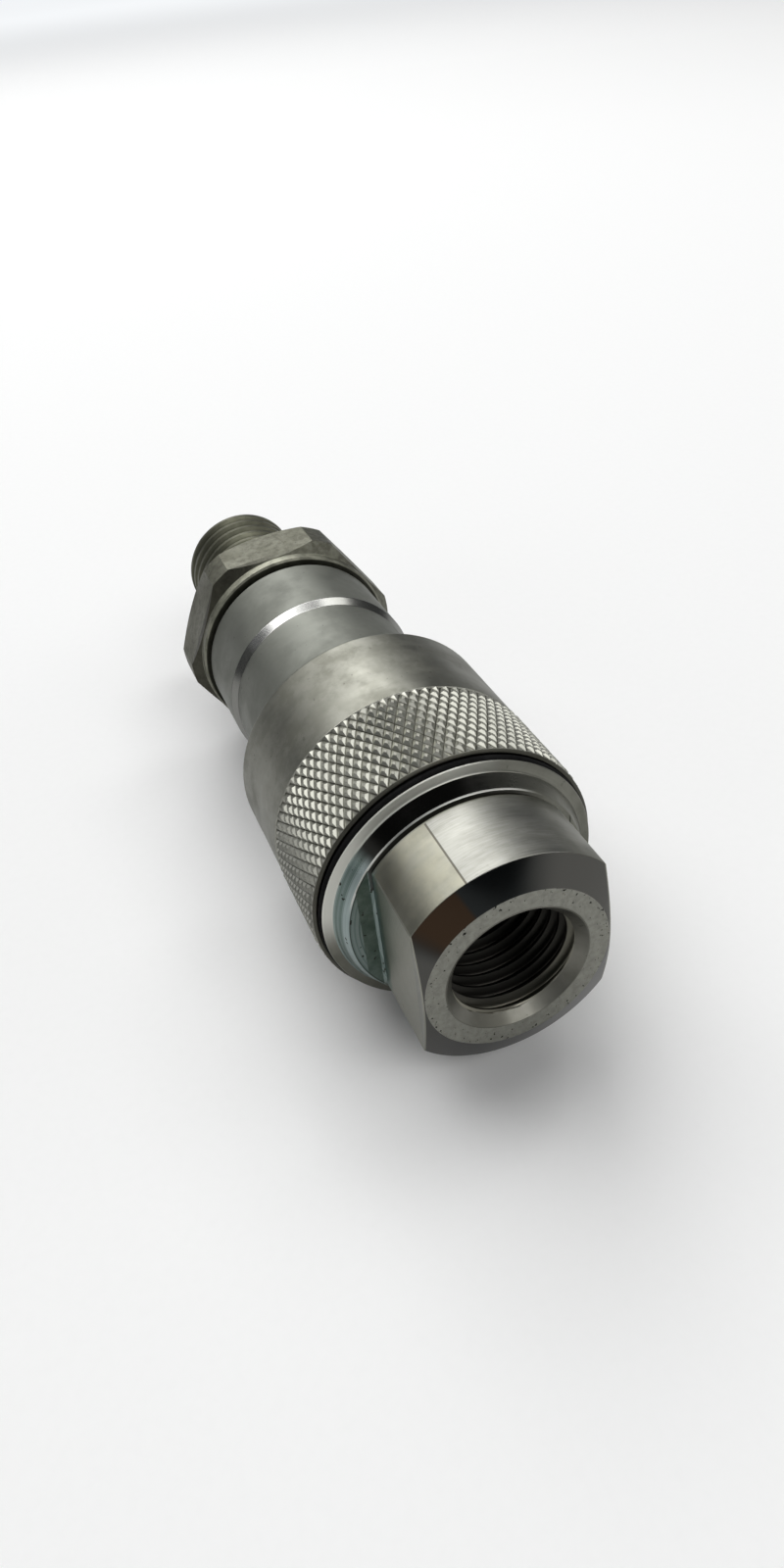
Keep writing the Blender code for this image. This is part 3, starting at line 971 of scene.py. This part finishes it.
def make_adapter(look, thread_look):
    """The tube adapter: spigot with a seal groove, collar, hexagon and threaded stub."""
    seal_groove_r = 7.8
    outline = [
        (SPIGOT_X, 5.4), (SPIGOT_X, ADAPTER_R - 0.4), (SPIGOT_X + 0.4, ADAPTER_R),
        (55.0, ADAPTER_R), (55.0, seal_groove_r), (56.8, seal_groove_r), (56.8, ADAPTER_R),
        (COLLAR_START, ADAPTER_R), (COLLAR_START, HEX_FACE_R - 0.3), (COLLAR_START + 0.3, HEX_FACE_R),
        (HEX_FRONT, HEX_FACE_R), (HEX_FRONT + 1.2, HEX_TURNED_R),
        (HEX_REAR - 1.2, HEX_TURNED_R), (HEX_REAR, HEX_FACE_R),
        (HEX_REAR, STUB_ROOT_R), (NECK_END, STUB_ROOT_R),
        (NECK_END, ADAPTER_BORE_R), (SPIGOT_X + 1.4, ADAPTER_BORE_R),
    ]
    body = turned("adapter_hexagon", outline)
    cut(body, hexagon_cutter(), edge=0.12)
    place(body, look, "plug", "dark_plated_steel", "plug_adapter")

    def chamfered(along, radius):
        end = STUB_CREST_R - np.maximum(0, along - (STUB_END - 1.0)) * 0.95
        start = STUB_ROOT_R + np.maximum(0, along - (NECK_END + 0.5)) * 0.9
        return np.minimum(radius, np.minimum(end, np.maximum(start, STUB_ROOT_R)))

    radii = (STUB_PITCH, STUB_CREST_R, STUB_ROOT_R)
    surface = thread_surface(NECK_END, STUB_END, *radii, STUB_SHAPE, chamfered)
    walls = [
        (STUB_END, 6.13), (STUB_END - 5.1, TUBE_SEAT_R), (80.0, TUBE_SEAT_R),
        (80.0, ADAPTER_BORE_R), (NECK_END, ADAPTER_BORE_R),
    ]
    stub = close_thread("adapter_stub", NECK_END, STUB_END, surface, walls)
    place(stub, thread_look, "plug", "dark_plated_steel")


def make_socket_body(look):
    """The socket body: spigot, ball holes, and grooves for its seals and the retaining ring."""
    spigot_r = 9.5
    rear_bore_r = 7.6
    seal_groove_r = 8.3
    ring_groove_r = 10.2
    plug_seal_groove_r = 9.95
    seat_r = 5.0
    outline = [
        (SOCKET_REAR, rear_bore_r), (SOCKET_REAR, spigot_r - 0.2), (SOCKET_REAR + 0.2, spigot_r),
        (15.5, spigot_r), (15.5, seal_groove_r), (17.0, seal_groove_r), (17.0, spigot_r),
        (18.1, spigot_r), (18.1, SOCKET_R),
        (35.5, SOCKET_R), (35.5, ring_groove_r), (36.3, ring_groove_r), (36.3, SOCKET_R),
        (36.6, SOCKET_R), (SOCKET_FRONT, SOCKET_R - 0.3), (SOCKET_FRONT, 9.1),
        (36.3, SOCKET_BORE_R), (26.2, SOCKET_BORE_R),
        (26.2, plug_seal_groove_r), (23.6, plug_seal_groove_r), (23.6, SOCKET_BORE_R),
        (SEAT_X + 1.7, SOCKET_BORE_R), (SEAT_X + 1.7, seat_r), (SEAT_X + 1.3, seat_r),
        (SEAT_X, 6.3), (SEAT_X, rear_bore_r),
    ]
    body = turned("socket_core", outline, segments=144)
    holes = bmesh.new()
    out = Matrix.Translation((BALL_X * MM, 0, 9.5 * MM))
    for index in range(BALL_COUNT):
        add_cylinder(holes, BALL_HOLE_R, 4.0, around_axis(index * 360 / BALL_COUNT) @ out)
    cut(body, holes, edge=0.05)
    place(body, look, "socket", "zinc_plated_steel", "socket_body")


def make_balls(look):
    """The locking balls, each at the middle of its CAD node."""
    for index in range(1, BALL_COUNT + 1):
        low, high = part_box(f"ball_{index}")
        mesh = bmesh.new()
        middle = Matrix.Translation((low + high) / 2)
        bmesh.ops.create_uvsphere(mesh, u_segments=40, v_segments=24, radius=BALL_R * MM, matrix=middle)
        ball = add_mesh(f"locking_ball_{index}", mesh)
        ball.data.shade_smooth()
        place(ball, look, f"ball_{index}", "bearing_steel", f"ball_{index}")


def guide(name, outline, hole_ring, hole_r, x_middle, look, body, node):
    """A valve guide: a disc with a hub and six flow holes."""
    disc = turned(name, outline, segments=96)
    holes = bmesh.new()
    for index in range(6):
        turn = around_axis(index * 60) @ Matrix.Translation((x_middle * MM, 0, hole_ring * MM))
        add_cylinder(holes, hole_r, 4.0, turn @ Matrix.Rotation(math.pi / 2, 4, "Y"), 32)
    cut(disc, holes, edge=0.05)
    place(disc, look, body, "turned_steel", node)


def make_guides(steel):
    """The two valve guides, each a disc that holds a poppet's stem in its hub."""
    bore_r = VALVE_STEM_R + 0.1
    hub_r = 2.4
    low, high, disc_r = span("socket_valve_guide")
    step = 13.6
    profile = [(low, disc_r), (step, disc_r), (step, hub_r), (high, hub_r)]
    outline = [(low, bore_r), *profile, (high, bore_r)]
    guide("socket_guide", outline, 4.6, 1.7, 12.9, steel, "socket", "socket_valve_guide")
    low, high, disc_r = span("plug_valve_guide")
    step = 36.15
    profile = [(low, hub_r), (step, hub_r), (step, disc_r), (high, disc_r)]
    outline = [(low, bore_r), *profile, (high, bore_r)]
    guide("plug_guide", outline, 4.3, 1.45, 36.9, steel, "plug_guide", "plug_valve_guide")


def make_poppets(steel):
    """The two poppets: a stem, a head with room for its soft seal, and a nose."""
    low, high, _ = span("socket_poppet")
    outline = [
        (low, 0), (low, VALVE_STEM_R - 0.3), (low + 0.3, VALVE_STEM_R),
        (18.0, VALVE_STEM_R), (18.0, 4.4), (16.6, 4.4),
        (16.6, 6.3), (17.2, 6.3), (17.45, 6.05),
        (17.45, 4.9), (18.6, 4.9), (18.6, 3.0),
        (high - 0.3, 3.0), (high, 2.7), (high, 0),
    ]
    poppet = turned("socket_valve_head", outline, closed=False, segments=96)
    place(poppet, steel, "socket_poppet", "turned_steel", "socket_poppet")
    low, high, _ = span("plug_poppet")
    outline = [
        (low, 0), (low, 2.3), (low + 0.3, 2.6),
        (24.0, 2.6), (24.0, 3.7), (25.15, 3.7),
        (25.15, 4.85), (25.3, 5.0), (26.3, 5.0), (26.3, VALVE_STEM_R),
        (high - 0.3, VALVE_STEM_R), (high, VALVE_STEM_R - 0.3), (high, 0),
    ]
    poppet = turned("plug_valve_head", outline, closed=False, segments=96)
    place(poppet, steel, "plug_poppet", "turned_steel", "plug_poppet")


def make_poppet_seals(look):
    """The soft seals, wedges that sit in the poppets' heads."""
    seal = turned("socket_valve_seal", [(17.5, 5.95), (18.5, 4.95), (17.5, 4.95)], segments=96)
    place(seal, look, "socket_poppet", "rubber", "socket_poppet_seal")
    seal = turned("plug_valve_seal", [(24.1, 3.75), (25.1, 4.75), (25.1, 3.75)], segments=96)
    place(seal, look, "plug_poppet", "rubber", "plug_poppet_seal")


def make_valve_springs(look):
    """The springs that close the two poppets."""
    spring = coil("socket_valve_coil", 14.05, 17.55, 3.5, 0.33, 3.5)
    place(spring, look, "socket", "spring_steel", "socket_valve_spring")
    spring = coil("plug_valve_coil", 26.85, 35.6, 3.6, 0.43, 6.5)
    place(spring, look, "plug_guide", "spring_steel", "plug_valve_spring")


def make_sleeve_spring(look):
    """The spring that pushes the sleeve forward."""
    spring = coil("sleeve_coil", 15.7, 22.05, 12.0, 0.58, 4.5)
    place(spring, look, "socket", "spring_steel", "sleeve_spring")


def make_rubber_rings(look):
    """The three round-section seals, and the black ring that the sleeve rests against."""
    for name, node, body in (
        ("body_seal_ring", "body_seal", "socket"),
        ("nose_seal_ring", "plug_seal_ring", "socket"),
        ("adapter_seal_ring", "adapter_seal", "plug"),
    ):
        place(seal_ring(name, node), look, body, "rubber", node)
    low, high, radius = span("buffer_ring")
    inner_r = 13.7
    outer_r = radius - 0.08
    lead_in = [(low, outer_r - 0.2), (low + 0.3, outer_r)]
    outline = [(low, inner_r), *lead_in, (high, outer_r), (high, inner_r)]
    buffer = turned("buffer_moulding", outline, size=SOFT)
    place(buffer, look, "socket", "rubber", "buffer_ring")


def make_flat_ring(name, node, inner_r, look, body, slot, gap=0.0):
    """A ring of square section in the place of its CAD node, split at the top if it has a gap."""
    low, high, radius = span(node)
    radius = max(radius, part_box(node)[1].y / MM)
    ring = turned(name, [(low, inner_r), (low, radius), (high, radius), (high, inner_r)])
    if gap:
        opening = bmesh.new()
        add_box(opening, (low - 1, -gap / 2, 0), (high + 1, gap / 2, radius + 1))
        cut(ring, opening, edge=0.04)
    place(ring, look, body, slot, node)


def make_flat_rings(polymer_look, spring_look):
    """The backup ring, the spring washer and the two split retaining rings."""
    make_flat_ring("backup_moulding", "backup_ring", 8.5, polymer_look, "socket", "sealing_polymer")
    steel = "spring_steel"
    split = 3.0
    ring = ("retaining_wire", "sleeve_retaining_ring", 10.27)
    make_flat_ring(*ring, spring_look, "socket", steel, split)
    make_flat_ring("spring_washer", "sleeve_spring_seat", 10.9, spring_look, "spring_seat", steel)
    make_flat_ring("guide_clip", "guide_circlip", 6.6, spring_look, "plug", steel, split)


# ---------------- stage


CAMERA_AT = Vector((-0.05832, 0.02866, 0.07527))
CAMERA_FORWARD = Vector((0.7393, -0.2393, -0.6290))
CAMERA_UP = Vector((0.5555, -0.3116, 0.7710))
CAMERA_LENS = 24.77
FLOOR_HALF = 4.0
SCENE_MIDDLE = Vector((0.04, 0, 0))


def make_camera():
    """A camera near the port's face, looking down along the coupler."""
    data = bpy.data.cameras.new("camera")
    data.lens = CAMERA_LENS
    data.clip_start = 0.002
    camera = add_object("camera", data)
    back = -CAMERA_FORWARD.normalized()
    right = CAMERA_UP.cross(back).normalized()
    up = back.cross(right)
    facing = Matrix((right, up, back)).transposed().to_4x4()
    camera.matrix_world = Matrix.Translation(CAMERA_AT) @ facing
    bpy.context.scene.camera = camera


def floor_paper():
    """Pale paper: darker to the steel's reflections, and lit from within far from the lamps."""
    made = Shader("floor_paper")
    fibre = made.noise(made.place, 900.0, 3.0)
    path = made.node("LightPath")
    pale = made.mix(fibre, (0.93, 0.93, 0.925), (0.96, 0.96, 0.955))
    color = made.mix(path.outputs["Is Glossy Ray"], pale, (0.62, 0.62, 0.62))
    far = made.between(made.length(made.x, made.y), 0.6, 2.4, 0.0, 0.86)
    glow = made.both(far, path.outputs["Is Camera Ray"])
    made.surface.inputs["Emission Color"].default_value = (0.96, 0.98, 1.0, 1.0)
    made.put(made.surface.inputs["Emission Strength"], glow)
    return made.finish(color, 0.85, metallic=0.0)


def make_floor(look):
    """The floor, just under the coupler's lowest point."""
    mesh = bmesh.new()
    bmesh.ops.create_grid(mesh, x_segments=1, y_segments=1, size=FLOOR_HALF)
    floor = add_mesh("floor", mesh)
    floor.location.z = FLOOR_Z - 0.02 * MM
    floor.data.materials.append(look)


def add_softbox(name, direction, distance, size, radiance):
    """A rectangular lamp that looks at the coupler's middle, of this radiance over its face."""
    data = bpy.data.lights.new(name, "AREA")
    data.shape = "RECTANGLE"
    data.size, data.size_y = size
    data.energy = radiance * math.pi * size[0] * size[1]
    light = add_object(name, data)
    towards = Vector(direction).normalized()
    light.location = SCENE_MIDDLE + towards * distance
    light.rotation_mode = "QUATERNION"
    light.rotation_quaternion = towards.to_track_quat("Z", "Y")


def make_world():
    """A faint sky light, which looks pale where the camera sees it past the floor."""
    world = bpy.data.worlds.new("studio")
    world.use_nodes = True
    tree = world.node_tree
    background = tree.nodes["Background"]
    background.inputs["Color"].default_value = (0.92, 0.96, 1.0, 1.0)
    path = tree.nodes.new("ShaderNodeLightPath")
    strength = tree.nodes.new("ShaderNodeMapRange")
    strength.inputs["To Min"].default_value = 0.07
    strength.inputs["To Max"].default_value = 0.85
    tree.links.new(path.outputs["Is Camera Ray"], strength.inputs["Value"])
    tree.links.new(strength.outputs[0], background.inputs["Strength"])
    bpy.context.scene.world = world
    bpy.context.scene.view_settings.view_transform = "Standard"


def make_lamps():
    """Softboxes above, behind, beside and in front, and a weaker one low on each side."""
    add_softbox("overhead", (0.5, 0.17, 0.84), 1.3, (1.36, 1.25), 2.6)
    add_softbox("behind", (0.76, -0.2, 0.62), 1.25, (0.5, 0.45), 2.2)
    add_softbox("side", (0.2, -0.55, 0.81), 1.3, (0.5, 0.55), 3.2)
    add_softbox("front", (-0.68, -0.25, 0.69), 1.3, (0.8, 0.6), 2.6)
    add_softbox("fill_left", (-0.3, 0.88, 0.36), 1.4, (0.9, 0.6), 0.9)
    add_softbox("fill_right", (-0.35, -0.85, 0.4), 1.4, (0.9, 0.6), 0.9)


inner = plain_machined("turned_steel", (0.6, 0.6, 0.58), (0.5, 0.5, 0.48), 0.26)
wire = plain_machined("wire_steel", (0.5, 0.5, 0.5), (0.4, 0.4, 0.4), 0.34)
polished = plain_machined(
    "ball_steel", (0.78, 0.78, 0.78), (0.7, 0.7, 0.7), 0.12, spread=0.03, ring_depth=0.0005, pits=0.0
)
black = rubber()

make_port_body(port_steel(), thread_steel())
make_sleeve(sleeve_steel())
make_plug_body(plug_steel())
make_adapter(hexagon_steel(), stub_steel())
make_socket_body(inner)
make_balls(polished)
make_guides(inner)
make_poppets(inner)
make_poppet_seals(black)
make_valve_springs(wire)
make_rubber_rings(black)
make_flat_rings(polymer(), wire)
make_sleeve_spring(wire)
make_camera()
make_floor(floor_paper())
make_world()
make_lamps()
